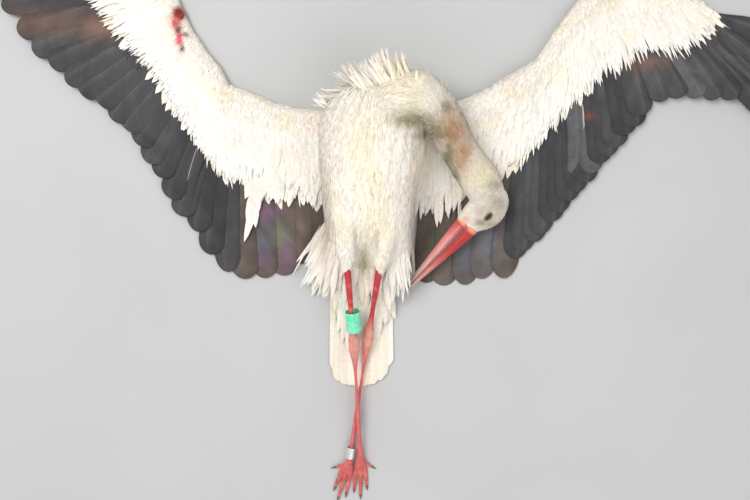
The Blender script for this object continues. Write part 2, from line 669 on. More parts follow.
# Feathers by place: what they are measured by, then length, half width, distance apart, lift of the tip.
TRUNK_COAT = (
    (-0.22, 0.06, 0.0066, 0.0078, 0.0018), (-0.15, 0.052, 0.0062, 0.0076, 0.002),
    (-0.05, 0.043, 0.0054, 0.007, 0.0021), (0.1, 0.036, 0.0044, 0.0062, 0.0022),
    (0.21, 0.028, 0.0032, 0.005, 0.003),
)
NECK_COAT = (
    (0.0, 0.029, 0.003, 0.005, 0.0032), (0.5, 0.022, 0.0024, 0.004, 0.0024),
    (1.0, 0.014, 0.0019, 0.0031, 0.0018),
)
HEAD_COAT = (
    (-0.094, 0.013, 0.0021, 0.0031, 0.0018), (-0.05, 0.0085, 0.0016, 0.0023, 0.0012),
    (0.004, 0.005, 0.0011, 0.0016, 0.0008),
)
THIGH_COAT = (
    (0.0, 0.036, 0.0058, 0.0076, 0.003), (0.7, 0.026, 0.0042, 0.0056, 0.0024),
    (1.0, 0.013, 0.0026, 0.0036, 0.0014),
)
WING_COAT = (
    (0.0, 0.014, 0.003, 0.0042, 0.0016), (0.2, 0.02, 0.0042, 0.0056, 0.002),
    (0.5, 0.03, 0.0058, 0.0074, 0.0022), (1.0, 0.04, 0.007, 0.0092, 0.0024),
)
# The fine outer layer: how long, wide, far apart and lifted its tufts are against the feathers below.
FRINGE = (0.74, 0.28, 0.8, 1.3)
# The trunk's middle line and half width, and how far its feathers fan out from that line and dip.
TRUNK_MIDDLE, TRUNK_HALF_WIDTH, TRUNK_FAN, TRUNK_DIP = 0.004, 0.09, 0.16, -0.05
LIE_ROUNDS, SIZE_ROUNDS, DEPTH_ROUNDS = 14, 10, 12  # how often these are evened out over the skin
SKIN_LOWEST, SKIN_SHADE = 0.0004, 0.94  # the skin is a little darker than the feathers over it


def nearest_region(points):
    """Which region each point belongs to, by the nearest solid."""
    trees = [tree_of(*[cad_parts[n].data for n in names]) for names in FLESH.values()]
    return np.array([np.argmin([tree.find_nearest(p)[3] for tree in trees]) for p in points])


PLACE_STATIONS, PLACE_SHARES = np.linspace(-0.3, 3.1, 200), np.linspace(0, 1, 24)
NECK_SHARES = np.linspace(0, 1, 60)


def wing_places(side, points):
    """Station, share of the chord and heading at each point of a wing."""
    grid = []
    tree = KDTree(len(PLACE_STATIONS) * len(PLACE_SHARES))
    for station in PLACE_STATIONS:
        heading, before, behind, _ = read(WINGS[side]["arm"], station)
        front = bone_point(side, station) - before * way(heading)
        for share in PLACE_SHARES:
            place = front + share * (before + behind) * way(heading)
            tree.insert((place[0], place[1], 0), len(grid))
            grid.append((station, share, heading))
    tree.balance()
    return np.array([grid[tree.find((p[0], p[1], 0))[1]] for p in points])


def beside_neck(points):
    """The nearest place on the neck's middle line to each point, with the line's way and share there."""
    rows = np.array(NECK)
    steps = np.linalg.norm(np.diff(rows, axis=0), axis=1)
    path = np.column_stack((np.concatenate(([0], np.cumsum(steps))), rows))
    line = np.array([read(path, s * path[-1, 0]) for s in NECK_SHARES])
    k = np.argmin(((points[:, None, :] - line[None]) ** 2).sum(axis=2), axis=1)
    return line[k], unit(np.gradient(line, axis=0))[k], NECK_SHARES[k]


def down_thigh(side, points):
    """Points from a thigh's knee, the way to its garter, and their shares of that way."""
    knee, garter = (np.array(LEGS[side][k]) for k in ("knee", "garter"))
    limb_way, off = garter - knee, points - knee
    return off, limb_way, off @ limb_way / (limb_way @ limb_way)


def lie_and_size(points, normals, regions):
    """For each point of the skin, which way its feather lies and its length, half width, spacing, lift."""
    lies, sizes = np.zeros((len(points), 3)), np.zeros((len(points), 4))
    forward = head_frame()[0]
    for r, region in enumerate(REGIONS):
        here = regions == r
        p = points[here]
        kind, _, side = region.partition("_")
        if kind == "trunk":
            lies[here] = (0, -1.0, TRUNK_DIP)
            lies[here, 0] = TRUNK_FAN * np.clip((p[:, 0] - TRUNK_MIDDLE) / TRUNK_HALF_WIDTH, -1, 1)
            sizes[here] = columns(TRUNK_COAT, p[:, 1])
        elif kind == "neck":
            _, tangents, shares = beside_neck(p)
            lies[here], sizes[here] = -tangents, columns(NECK_COAT, shares)
        elif kind == "head":
            lies[here], sizes[here] = -forward, columns(HEAD_COAT, (p - BILL_ROOT) @ forward)
        elif kind == "thigh":
            _, lies[here], shares = down_thigh(side, p)
            sizes[here] = columns(THIGH_COAT, shares)
        else:
            place = wing_places(side, p)
            lies[here] = [way(heading) for heading in place[:, 2]]
            sizes[here] = columns(WING_COAT, place[:, 1])
    return square_to(unit(lies), normals), sizes


def evened(mesh, values, rounds):
    """values by vertex, averaged with their neighbours'."""
    a, b = numbers_of(mesh.edges, "vertices", 2, int).T
    count = np.bincount(a, minlength=len(values)) + np.bincount(b, minlength=len(values))
    for _ in range(rounds):
        sums = [np.bincount(a, v[b], len(v)) + np.bincount(b, v[a], len(v)) for v in values.T]
        values = 0.4 * values + 0.6 * np.column_stack(sums) / np.maximum(count, 1)[:, None]
    return values


def sink_skin(mesh, regions):
    """Moves the skin in by the depth of the coat over it."""
    depth = np.array([[COAT_DEPTH.get(REGIONS[r], WING_DEPTH)] for r in regions])
    depth = evened(mesh, depth, DEPTH_ROUNDS)
    lift_over(mesh, points_of(mesh) - depth * normals_of(mesh), SKIN_LOWEST)


class Coat:
    """The skin with the lie and the sizes of the feathers on it."""

    def __init__(self):
        solids = [n for names in FLESH.values() for n in names]
        meshes = [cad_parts[n].data for n in (*solids, *[f"eye_{side}" for side in SIDES])]
        skin = fused("skin", meshes, SKIN_VOXEL, SKIN_ROUNDS, LOOKS["skin"])
        mesh = skin.data
        self.regions = nearest_region(points_of(mesh))
        sink_skin(mesh, self.regions)
        self.points, self.normals = points_of(mesh), normals_of(mesh)
        lies, sizes = lie_and_size(self.points, self.normals, self.regions)
        self.lies = square_to(evened(mesh, lies, LIE_ROUNDS), self.normals)
        self.sizes = evened(mesh, sizes, SIZE_ROUNDS)
        self.corners = numbers_of(mesh.loops, "vertex_index", 1, int).reshape(-1, 4)
        self.tree = tree_of(mesh)
        self.parts = {name: self.part_tree(k) for k, name in enumerate(REGIONS)}
        paint(mesh, plumage(self.points) * SKIN_SHADE)
        hand_in(skin, "white_plumage", *solids)

    def part_tree(self, region):
        """A search tree over one region of the skin alone."""
        faces = self.corners[self.regions[self.corners[:, 0]] == region]
        return BVHTree.FromPolygons(self.points.tolist(), faces.tolist())

    def roots(self, region, seed, keep, closer):
        """Evenly scattered places on one region: point, normal, lie and sizes."""
        rng = np.random.default_rng(seed)
        corners = self.corners[self.regions[self.corners[:, 0]] == REGIONS.index(region)]
        corners = corners[keep(self.points[corners].mean(axis=1), self.normals[corners].mean(axis=1))]
        spacing = closer * self.sizes[corners, 2].mean(axis=1)
        corners = np.repeat(corners, rng.poisson(3.0 * SKIN_VOXEL**2 / spacing**2), axis=0)
        s, t = rng.random((2, len(corners), 1))
        weights = ((1 - s) * (1 - t), s * (1 - t), s * t, (1 - s) * t)
        points, normals, lies, sizes = (
            sum(w * values[corners[:, k]] for k, w in enumerate(weights))
            for values in (self.points, self.normals, self.lies, self.sizes)
        )
        chosen = spread_out(points, 0.80 * closer * sizes[:, 2], rng.permutation(len(corners)))
        return points[chosen], unit(normals)[chosen], unit(lies)[chosen], sizes[chosen]


def spread_out(points, apart, order):
    """The indices of points of which no two lie closer than apart."""
    taken, chosen = {}, []
    keys = np.floor(points / apart.max()).astype(int).tolist()
    for i in order:
        x, y, z = keys[i]
        cells = ((x + dx, y + dy, z + dz) for dx, dy, dz in itertools.product((-1, 0, 1), repeat=3))
        offsets = (points[i] - points[j] for cell in cells for j in taken.get(cell, ()))
        if all(d @ d >= apart[i] ** 2 for d in offsets):
            taken.setdefault((x, y, z), []).append(i)
            chosen.append(i)
    return np.array(chosen, int)


# ---------------------------------------------------------------- small feathers as vanes

POINTED = ((0.0, 0.55), (0.25, 1.0), (0.5, 0.95), (0.7, 0.72), (0.86, 0.42), (0.95, 0.2), (1.0, 0.04))
SOFT = ((0.0, 0.55), (0.25, 1.0), (0.5, 0.97), (0.72, 0.78), (0.88, 0.46), (1.0, 0.05))
SMALL = ((0.0, 0.5), (0.4, 1.0), (0.8, 0.72), (1.0, 0.12))
TUFT = ((0.0, 0.6), (0.35, 1.0), (0.72, 0.62), (1.0, 0.05))
PLUME = ((0.0, 0.1), (0.2, 0.62), (0.45, 1.0), (0.7, 0.9), (0.88, 0.52), (1.0, 0.04))
LOWEST = 0.0003  # no feather dips into the floor
PATCH = 0.003  # size of a feather's patch in the bake
TIP_LOWEST = 0.0008  # nor does the middle line of one that grows from the skin come lower than this
# Skin is followed while it is this near, against a step and in metres, and this little turned.
HUGS_STEP, HUGS_NEAR, HUGS_TURN = 0.30, 0.0012, 0.30
# How far a vane's edges hang and its middle rises against its width, and how far its normals turn aside.
DROOP, CROWN, ROUND_OFF = 0.22, 0.10, 0.35
VANE_THICKNESS = 0.00022
ACROSS = np.array((-1.0, 0.0, 1.0, 0.0))  # the four points of a row, across the vane


def vanes(name, centres, ups, half, tint, places, shape, seed):
    """Thin closed vanes, four points to a row: left edge, top, right edge, underside.
    centres and ups are by feather and row, half and places by feather, tint by feather and row."""
    count, rows, _ = centres.shape
    profile = np.array(shape)
    ways = unit(np.gradient(centres, axis=1))
    rights = unit(np.cross(ways, ups))
    ups = unit(np.cross(rights, ways))
    width = (half[:, None] * profile[:, 1])[..., None]
    low = -DROOP * width * ups
    left, right = centres - width * rights + low, centres + width * rights + low
    under = centres - (VANE_THICKNESS + DROOP * 0.6 * width) * ups
    corners = np.stack((left, centres + CROWN * width * ups, right, under), axis=2)
    corners[..., 2] = np.maximum(corners[..., 2], LOWEST)
    normals = np.stack((ups - ROUND_OFF * rights, ups, ups + ROUND_OFF * rights, -ups), axis=2)
    index = np.arange(count * rows * 4).reshape(count, rows, 4)
    following = np.roll(index, -1, axis=2)
    strips = np.stack((index[:, :-1], following[:, :-1], following[:, 1:], index[:, 1:]), axis=-1)
    caps = np.stack((index[:, 0][:, [0, 3, 2, 1]], index[:, -1]), axis=1)
    faces = np.concatenate((strips.reshape(-1, 4), caps.reshape(-1, 4)))
    length = np.linalg.norm(centres[:, -1] - centres[:, 0], axis=1)[:, None, None]
    which = np.random.default_rng(seed).random((count, 1, 1))
    lie = together(width * ACROSS, length * profile[:, :1], which)
    spot = together(0.5 * ACROSS, profile[:, :1] - 0.5)
    patch = np.clip(places[:, None, None] + PATCH * spot, 0.001, 0.999)
    shade = np.repeat(tint[:, :, None, :], 4, axis=2)
    hand_in(build_mesh(name, corners, faces, LOOKS["white"], shade, lie, patch, normals), "white_plumage")


def grown(tree, points, normals, lies, lengths, lifts, shape, hug=1.0):
    """The middle lines of feathers that follow the skin from their roots and then leave it at its edges."""
    shares = [share for share, _ in shape]
    centres, ups = [], []
    for point, first, lie, length, lift in zip(points, normals, lies, lengths, lifts):
        at, first, d = Vector(point), Vector(first), Vector(lie)
        n = first
        row, row_ups = [at + n * 0.0002], [n]
        for before, share in zip(shares, shares[1:]):
            step = length * (share - before)
            ahead = at + d * step
            near, normal, _, distance = tree.find_nearest(ahead)
            close = distance < HUGS_STEP * step + HUGS_NEAR and normal.dot(first) > HUGS_TURN
            if before >= hug:
                d = Vector(lie)
            if close and before < hug:
                at, n = near, normal
                d = (d - n * d.dot(n)).normalized()
            else:
                at = ahead
            place = at + n * (lift * share**1.25)
            place.z = max(place.z, TIP_LOWEST)
            row.append(place)
            row_ups.append(n)
        centres.append(row)
        ups.append(row_ups)
    return np.array(centres, float), np.array(ups, float)


def vane_tints(centres, seed, spread=0.05):
    """Colours down each feather, each a little lighter or darker than the next, stained where it lies."""
    count, rows, _ = centres.shape
    own = 1 + spread * np.random.default_rng(seed).standard_normal((count, 1, 1))
    share = np.linspace(0, 1, rows)[None, :, None]
    clean, uneven = bare_plumage(centres[:, -1])
    tint = stained(np.repeat(clean[:, None], rows, axis=1), centres, STAINS, uneven[:, None])
    return np.clip(tint * own * (0.95 + 0.07 * share), 0, 0.96)


def chart(region, points):
    """Where points fall on an unwrap of a region: round it and down it, both from 0 to 1."""
    kind, _, side = region.partition("_")
    if kind == "wing":
        place = wing_places(side, points)
        return np.column_stack(((place[:, 0] + 0.3) / 3.4, 0.03 + 0.94 * place[:, 1]))
    if kind == "trunk":
        turn = np.arctan2(points[:, 2] - 0.07, points[:, 0] - 0.005)
        down = (points[:, 1] + 0.27) / 0.50
    elif kind == "neck":
        line, tangents, down = beside_neck(points)
        right, up = crossways(tangents)
        turn = np.arctan2(((points - line) * up).sum(axis=1), ((points - line) * right).sum(axis=1))
    elif kind == "head":
        forward, crown, right = head_frame()
        off = points - BILL_ROOT
        turn = np.arctan2(off @ right, off @ crown - 0.006)
        down = (off @ forward + 0.10) / 0.11
    else:
        off, limb_way, shares = down_thigh(side, points)
        turn = np.arctan2(off[:, 2] - shares * limb_way[2], off[:, 0])
        down = shares * 0.8 + 0.15
    return np.column_stack((0.5 + turn / (2 * math.pi), down))


def over_floor(points, normals):
    return (normals[:, 2] > -0.55) & (points[:, 2] > 0.004)


TURNED_OVER = 0.30  # a feather whose tip faces further than this from where its root faces is left out
WING_FALL = 0.55  # the steepest fall of a small feather on a wing
WING_RISE = 0.30  # and the steepest rise at a long one's tip
BACK_LENGTH = 0.024  # longer feathers belong to the back half of a wing, and its steep end has none
RUN_ON = 0.82  # a feather that doesn't run on at least this share of its length is left out too


def body_feathers(coat, name, region, seed, shape, keep=over_floor, scale=(1, 1, 1, 1), stray=0.10):
    """One layer of a region's coat. scale is against its own length, half width, spacing and lift."""
    points, normals, lies, sizes = coat.roots(region, seed, keep, scale[2])
    rng = np.random.default_rng(seed + 100)
    lies = unit(lies + stray * np.cross(normals, lies) * rng.standard_normal((len(points), 1)))
    lengths = scale[0] * sizes[:, 0] * rng.uniform(0.85, 1.15, len(points))
    lifts = scale[3] * sizes[:, 3] * rng.uniform(0.75, 1.25, len(points))
    wing = region.startswith("wing")
    tree = coat.parts[region] if wing else coat.tree
    centres, ups = grown(tree, points, normals, lies, lengths, lifts, shape)
    half = scale[1] * sizes[:, 1] * rng.uniform(0.9, 1.1, len(points))
    straight = ((centres[:, -1] - centres[:, 0]) * lies).sum(axis=1) > RUN_ON * lengths
    straight &= (ups[:, 0] * ups[:, -1]).sum(axis=1) > TURNED_OVER
    if wing:
        steps, short = np.diff(centres, axis=1), sizes[:, 0] < BACK_LENGTH
        rise = steps[..., 2] / np.linalg.norm(steps, axis=2)
        straight &= (rise > -WING_FALL).all(axis=1)
        straight &= short | ((normals[:, 2] > 0.5) & (rise[:, -1] < WING_RISE))
    points, centres, ups, half = (values[straight] for values in (points, centres, ups, half))
    vanes(name, centres, ups, half, vane_tints(centres, seed + 200), chart(region, points), shape, seed)


def coat_of(coat, region, seed, keep=over_floor, shape=SOFT):
    """The coat of a region: its feathers, and the fine tufts that soften them."""
    body_feathers(coat, f"coat_{region}", region, seed, shape, keep)
    body_feathers(coat, f"coat_{region}_fringe", region, seed + 50, TUFT, keep, FRINGE, 0.20)


def body_open(points, normals):
    """Where the trunk has a coat of its own: all of it down to the coverts under the tail."""
    rump = points[:, 1] < -0.150
    return over_floor(points, normals) & (points[:, 1] > -0.205) & ~(rump & (normals[:, 2] < 0.20))


def face_open(points, normals):
    """Where the head has feathers: all of it but the bare skin round the eyes."""
    forward, crown, right = head_frame()
    off = points - BILL_ROOT
    u, v = off @ forward - EYE_U, off @ crown - EYE_V
    bare = ((u - 0.0015) / 0.0105) ** 2 + (v / 0.0068) ** 2 < 1
    return ~(bare & (np.abs(off @ right) > 0.010)) & over_floor(points, normals)


def thigh_open(side):
    """Where a thigh has feathers: down to just short of the bare shank."""

    def keep(points, normals):
        _, limb_way, shares = down_thigh(side, points)
        return over_floor(points, normals) & (shares < 0.94) & (normals @ unit(limb_way) < 0.55)

    return keep


def wing_top(points, normals):
    return (normals[:, 2] > -0.20) & (points[:, 2] > 0.003)


# ---------------------------------------------------------------- coverts in rows

# Rows of coverts on the underside of the wing: share of the chord at their tips, length, half width,
# distance apart, how ragged their tips are.
COVERT_ROWS = (
    (0.5, 0.036, 0.0066, 0.0092, 0.005), (0.64, 0.042, 0.007, 0.0096, 0.006),
    (0.77, 0.048, 0.0074, 0.0098, 0.007), (0.88, 0.054, 0.0068, 0.0088, 0.009),
    (0.97, 0.058, 0.0058, 0.0076, 0.011), (1.02, 0.052, 0.004, 0.0058, 0.014),
    (1.04, 0.036, 0.0021, 0.0034, 0.017),
)
COVERT_LOWEST = 0.0048
DRAPE = 0.45  # the steepest that a feather falls from what it lies on


def gathered(rows):
    """The columns of a list of rows, each as one array."""
    return [np.array(column) for column in zip(*rows)]


def laid(tree, roots, ways, lengths, shape, layers, lift=0.0022, lowest=COVERT_LOWEST, highest=1.0, bends=0):
    """Middle lines of feathers that lie on whatever is under them, the higher layers on top."""
    shares = np.array(shape)[:, 0]
    centres = roots[:, None] + (lengths[:, None] * shares[None])[..., None] * ways[:, None]
    bent = (bends * lengths)[:, None, None] * shares[None, :, None] ** 2
    centres = centres + bent * np.cross(UP, ways)[:, None]
    for i, row in enumerate(centres):
        hits = [tree.ray_cast(Vector((x, y, 0.3)), Vector((0, 0, -1)))[0] for x, y, _ in row]
        heights = np.array([min(max(hit.z if hit else 0.0, lowest), highest) for hit in hits])
        apart = np.abs(shares[:, None] - shares[None]) * lengths[i]
        draped = (heights[None] - DRAPE * apart).max(axis=1)
        line = np.linspace(draped[0], draped[-1], len(shares))
        centres[i, :, 2] = np.maximum(draped, line) + layers[i] + lift * shares - 0.0004
    return centres


def white_vanes(name, centres, halves, seed, cool=0.0, shape=POINTED, places=None, ups=UP):
    """White feathers as one piece, cooler towards their tips by this much."""
    down = np.array(shape)[:, 0]
    tint = mixed(vane_tints(centres, seed, 0.04), COOL, cool * smooth_step(0.3, 1.0, down))
    if places is None:  # over the whole of the bake, as seen from above
        low, high = centres[:, 0, :2].min(axis=0), centres[:, 0, :2].max(axis=0)
        places = 0.02 + 0.96 * (centres[:, 0, :2] - low) / (high - low)
    vanes(name, centres, np.broadcast_to(ups, centres.shape), halves, tint, places, shape, seed)


COVERT_START, COVERT_END, HAND_START = -0.15, 2.92, 2.2  # stations; past the last the coverts get smaller
# The right wing's coverts reach less far out up to the first of two stations, and as far as the left's from
# the second on. Round the calm station they are more even.
SHORTER, SHORT_STATIONS, CALM_STATION, CALM_REACH = 0.14, (0.55, 0.80), 1.3, 0.42


def covert_rows(coat, side):
    """Long coverts whose tips end over the flight feathers in a ragged edge."""
    rng = np.random.default_rng(40 + SIDES[side])
    rows = []
    for layer, (share, length, half, apart, ragged) in enumerate(COVERT_ROWS):
        station = COVERT_START
        while station < COVERT_END:
            heading, before, behind, _ = read(WINGS[side]["arm"], station)
            size = length * (1.0 - 0.45 * max(station - HAND_START, 0.0)) * rng.uniform(0.90, 1.10)
            short, calm = 0.0, 0.0
            if side == "right":
                short = SHORTER * (1 - smooth_step(*SHORT_STATIONS, station))
                calm = math.exp(-(((station - CALM_STATION) / CALM_REACH) ** 4))
            stray = ragged * (1 - 0.70 * calm) * rng.uniform(-0.8, 1.0)
            reach = share * (1 - short) * (before + behind) - before + stray
            turned = way(heading + rng.normal(0, 3.5))
            tip = bone_point(side, station) + reach * way(heading)
            wide = half * (1.0 if station < HAND_START else 0.75) * rng.uniform(0.85, 1.1)
            rows.append((tip - size * turned, turned, size, wide, 0.0004 * layer))
            station += apart / BONES[bone_at(station)] * rng.uniform(0.8, 1.2) * (1 - 0.45 * calm)
    roots, ways, lengths, halves, layers = gathered(rows)
    bends = rng.normal(0, 0.05, len(lengths))
    centres = laid(coat.parts[f"wing_{side}"], roots, ways, lengths, POINTED, layers, bends=bends)
    white_vanes(f"coverts_{side}", centres, halves, 61, 0.55, places=chart(f"wing_{side}", centres[:, 2]))


# Coverts under the tail: distance of their tips from the tail's root, length, half width, spread, level.
RUMP_ROWS = (
    (-0.045, 0.06, 0.0062, 0.052, 0.0), (-0.016, 0.064, 0.0064, 0.056, 0.0004),
    (0.012, 0.068, 0.0066, 0.055, 0.0007), (0.038, 0.072, 0.0068, 0.051, 0.001),
    (0.062, 0.076, 0.0068, 0.044, 0.0013), (0.086, 0.078, 0.0066, 0.036, 0.0016),
    (0.11, 0.078, 0.006, 0.026, 0.0019),
)
RUMP_PER_ROW = 19
RUMP_HIGHEST = 0.074  # their roots lie no higher than this on the belly


def tail_coverts(coat):
    """Soft coverts from the rump out over the tail."""
    rng = np.random.default_rng(31)
    rows = []
    for tip, length, half, spread, rise in RUMP_ROWS:
        for share in np.linspace(-1, 1, RUMP_PER_ROW):
            turned = way(TAIL_HEADING + 7 * share + rng.normal(0, 2.5))
            size = length * rng.uniform(0.85, 1.12)
            end = np.array((TAIL_ROOT[0] + spread * share, TAIL_ROOT[1] - tip - 0.096, 0.0))
            end = end + np.array((rng.normal(0, 0.002), 0.018 * share**2 + rng.normal(0, 0.006), 0.0))
            wide = half * rng.uniform(0.85, 1.1)
            rows.append((end - size * turned, turned, size, wide, rise + 0.0002 * rng.random()))
    roots, ways, lengths, halves, layers = gathered(rows)
    centres = laid(coat.parts["trunk"], roots, ways, lengths, SOFT, layers, 0.0016, 0.0064)
    low = centres[:, 0, 2] < RUMP_HIGHEST
    white_vanes("coverts_tail", under_legs(centres[low]), halves[low], 62, 0.0, SOFT)


def under_legs(centres):
    """The same middle lines, pressed down where a leg passes over them."""
    for side, (start, end, clear) in itertools.product(SIDES, LEG_CLEARANCE):
        a, b = (np.array(LEGS[side][k]) for k in (start, end))
        share = np.clip((centres[..., 1] - a[1]) / (b[1] - a[1]), 0, 1)
        line = a + share[..., None] * (b - a)
        inside = (centres[..., 1] <= a[1]) & (np.abs(centres[..., 0] - line[..., 0]) < LEG_REACH)
        limit = np.where(inside, line[..., 2] - clear, 1.0)
        centres[..., 2] = np.maximum(np.minimum(centres[..., 2], limit), PRESSED_LOWEST)
    return centres


# ---------------------------------------------------------------- flight and tail feathers

QUILL_ROWS, QUILL_STEPS = 40, np.array((-1.0, -0.7, -0.35, -0.04, 0.0, 0.04, 0.35, 0.7, 1.0))
QUILL_THICKNESS, QUILL_TILT, QUILL_SHARP = 0.0005, 0.0017, 50
SHAFT_RIDGE = np.array((0, 0, 0, 0.0002, 0.0009, 0.0002, 0, 0, 0))
BLACK, DARK_BROWN, PALE_SHAFT = (0.034, 0.033, 0.035), (0.106, 0.076, 0.06), (0.15, 0.128, 0.11)
TAIL_WHITE, TAIL_SHAFT = (0.84, 0.79, 0.7), (0.8, 0.74, 0.62)
RIM_WHITE = (0.62, 0.62, 0.60)
# A flight feather: where its root lies, its heading, how far from there it starts, leaves the coverts and
# ends, its half width, how far its tip curls up, and the share of its reach at which its slot begins.
Quill = collections.namedtuple("Quill", "root heading start edge reach half curl slot")


def quills(side, group):
    name, count, first, last, half = group
    for share in np.linspace(0, 1, count):
        station = first + share * (last - first)
        heading, reach, curl, slot = read(WINGS[side][name], share)
        behind = read(WINGS[side]["arm"], station)[2]
        start, edge = UNDER_COVERTS * behind, behind + COVERT_MARGIN
        yield Quill(bone_point(side, station), heading, start, edge, reach, half, max(curl, 0.0), slot)


def quill_width(share, slot, tip):
    """Share of the half width at each share of a feather's length: full, cut back past its slot, round."""
    thin = 0.55 if slot > 0.9 else 0.16  # the outer primaries are thin at their roots
    base = thin + (1 - thin) * smooth_step(0.0, 0.25, share)
    cut = 1.0 - 0.40 * smooth_step(slot - 0.06, slot + 0.06, share) * (slot < 0.9)
    end = np.clip((share - (1 - tip)) / tip, 0, 1)
    return base * cut * np.sqrt(np.clip(1 - end**2, 0, 1)) + 0.02


def quill_grid(quill, sign, rng, bend, tip):
    """Points of a flight feather's upper face, by row and column, its outer vane on the side of sign, their
    places from its shaft, and each row's share of its length."""
    share = 1 - np.linspace(1, 0, QUILL_ROWS) ** 1.6  # the rows lie closer together towards the tip
    distance = (quill.start + share * (quill.reach - quill.start))[:, None]
    forward = way(quill.heading)
    width = (quill.half * quill_width(share, quill.slot, tip))[:, None]
    steps, shaft = QUILL_STEPS, 0.30 * sign  # the shaft's place across the feather
    place = np.where(steps < 0, shaft + steps * (1 + shaft), shaft + steps * (1 - shaft))
    place[3:6] = shaft + np.array((-1, 0, 1)) * 0.045
    edge = np.ones((QUILL_ROWS, len(steps)))
    for column in (0, -1):
        edge[:, column] -= 0.03 * rng.random(QUILL_ROWS)
    across = width * (shaft + (place[None] - shaft) * edge)
    slant = 0.55 * np.abs(across - shaft * width) * np.clip(1 - share, 0.0, 0.3)[:, None] / 0.3
    spread = np.clip((distance - quill.edge) / (quill.reach - quill.edge), 0, 1)
    height = quill.curl * spread**1.3 - sign * QUILL_TILT * across / quill.half + QUILL_TILT + 0.0012
    height = height - 0.0007 * (across / width - shaft) ** 2 + SHAFT_RIDGE * (1.15 - share)[:, None]
    points = quill.root + (distance + slant)[..., None] * forward
    points = points + (across + (bend * share**2)[:, None])[..., None] * np.cross(UP, forward)
    points = points + height[..., None] * UP
    return points, together(across - shaft * width, distance), share


def shell_faces(rows, wide):
    """Faces of a closed sheet whose upper grid comes first and whose lower grid follows."""
    top = np.arange(rows * wide).reshape(rows, wide)
    low = top + rows * wide
    quads = [(top[:-1, :-1], top[:-1, 1:], top[1:, 1:], top[1:, :-1])]
    quads.append((low[:-1, :-1], low[1:, :-1], low[1:, 1:], low[:-1, 1:]))
    for a, b in ((top[:, 0], low[:, 0]), (low[:, -1], top[:, -1]), (low[0], top[0]), (top[-1], low[-1])):
        quads.append((a[:-1], a[1:], b[1:], b[:-1]))
    return np.concatenate([np.stack(quad, axis=-1).reshape(-1, 4) for quad in quads])


def quill_piece(name, grids, tints, slot, look, *replaced):
    """One piece of many flight feathers, each with its own rectangle in the bake."""
    rows, wide = QUILL_ROWS, len(QUILL_STEPS)
    points, faces, lies, shades, places = [], [], [], [], []
    cells = math.ceil(math.sqrt(len(grids)))
    u, v = np.meshgrid(np.linspace(0.08, 0.92, wide), np.linspace(0.04, 0.96, rows))
    for k, ((grid, lie, _), tint) in enumerate(zip(grids, tints)):
        points += [grid, grid - QUILL_THICKNESS * UP]
        faces.append(2 * k * rows * wide + shell_faces(rows, wide))
        lies += 2 * [np.concatenate((lie, np.full((rows, wide, 1), k * 1.7)), axis=-1)]
        shades += 2 * [tint]
        places += 2 * [together((u + k % cells) / cells, (v + k // cells) / cells)]
    made = build_mesh(name, points, np.concatenate(faces), LOOKS[look], shades, lies, places)
    hand_in(tidied(made, QUILL_SHARP), slot, *replaced)


def quill_tint(share, base, shaft, rng, fade=0.0, rim=None, own=None):
    """Colours over a feather's grid: dark vanes, a paler shaft and a little unevenness."""
    wide = len(QUILL_STEPS)
    own = own or rng.uniform(0.72, 1.32)
    tint = np.broadcast_to(np.array(base) * own, (len(share), wide, 3)).copy()
    tint *= (1 + 0.35 * fade * (1 - share))[:, None, None]
    pale = mixed(tint[:, 4], shaft, 0.75 * (1 - 0.7 * share))
    tint[:, 4] = pale
    for column in (3, 5):
        tint[:, column] = 0.5 * (tint[:, column] + pale)
    tint *= rng.uniform(0.93, 1.07, (len(share), wide, 1))
    tint[:, (0, -1)] *= 0.72
    if rim is not None:
        tint[:, rim] = mixed(tint[:, rim], RIM_WHITE, np.minimum(1, 1.9 - 1.5 * share))
    return np.clip(tint, 0, 0.95)


# Single flight feathers that are worn paler than the rest.
PALER = {("left", "secondaries", 9), ("left", "primaries", 0), ("left", "primaries", 2)}


def flight_feathers(side):
    sign = SIDES[side]
    for group in FLIGHTS:
        name = group[0]
        rng = np.random.default_rng(len(name) * 10 + sign)
        base, slot = (DARK_BROWN, "brown_feather") if name == "tertials" else (BLACK, "black_feather")
        grids, tints = [], []
        for k, quill in enumerate(quills(side, group)):
            bend = -sign * rng.uniform(0.0, 0.008)
            quill = quill._replace(reach=quill.reach * rng.uniform(0.972, 1.006))
            tip = rng.uniform(0.13, 0.20) if quill.slot > 0.9 else rng.uniform(0.09, 0.13)
            grids.append(quill_grid(quill, sign, rng, bend, tip))
            paler = 1.9 if (side, name, k) in PALER else 1.0
            tint = quill_tint(grids[-1][2], np.array(base) * paler, PALE_SHAFT, rng, 0.5)
            tints.append(stained(tint, grids[-1][0], DARK_STAINS))
        quill_piece(f"{name}_{side}", grids, tints, slot, "dark", f"wing_{side}_{name}")


# Feathers that lie loose over the secondaries: side, upper end, heading, length, half width, bend, colour
# against the others', and which part is white: the edge or the shaft.
LOOSE = (
    ("left", (0.374, 0.186, 0.0046), 278.5, 0.158, 0.0165, -0.014, 2.4, -1),
    ("right", (-0.3, 0.094, 0.004), 246.0, 0.15, 0.015, 0.022, 1.0, 4),
)


def loose_feathers():
    """The odd feathers that show a white edge or shaft."""
    for side, start, heading, length, half, bend, paler, rim in LOOSE:
        rng = np.random.default_rng(90 + rim)
        quill = Quill(np.array(start), heading, 0.0, 0.5 * length, length, half, 0.002, 0.96)
        grid = quill_grid(quill, SIDES[side], rng, bend, 0.12)
        tint = quill_tint(grid[2], np.array(BLACK) * paler, PALE_SHAFT, rng, 0.3, rim, 1.0)
        quill_piece(f"loose_feather_{side}", [grid], [tint], "black_feather", "dark")


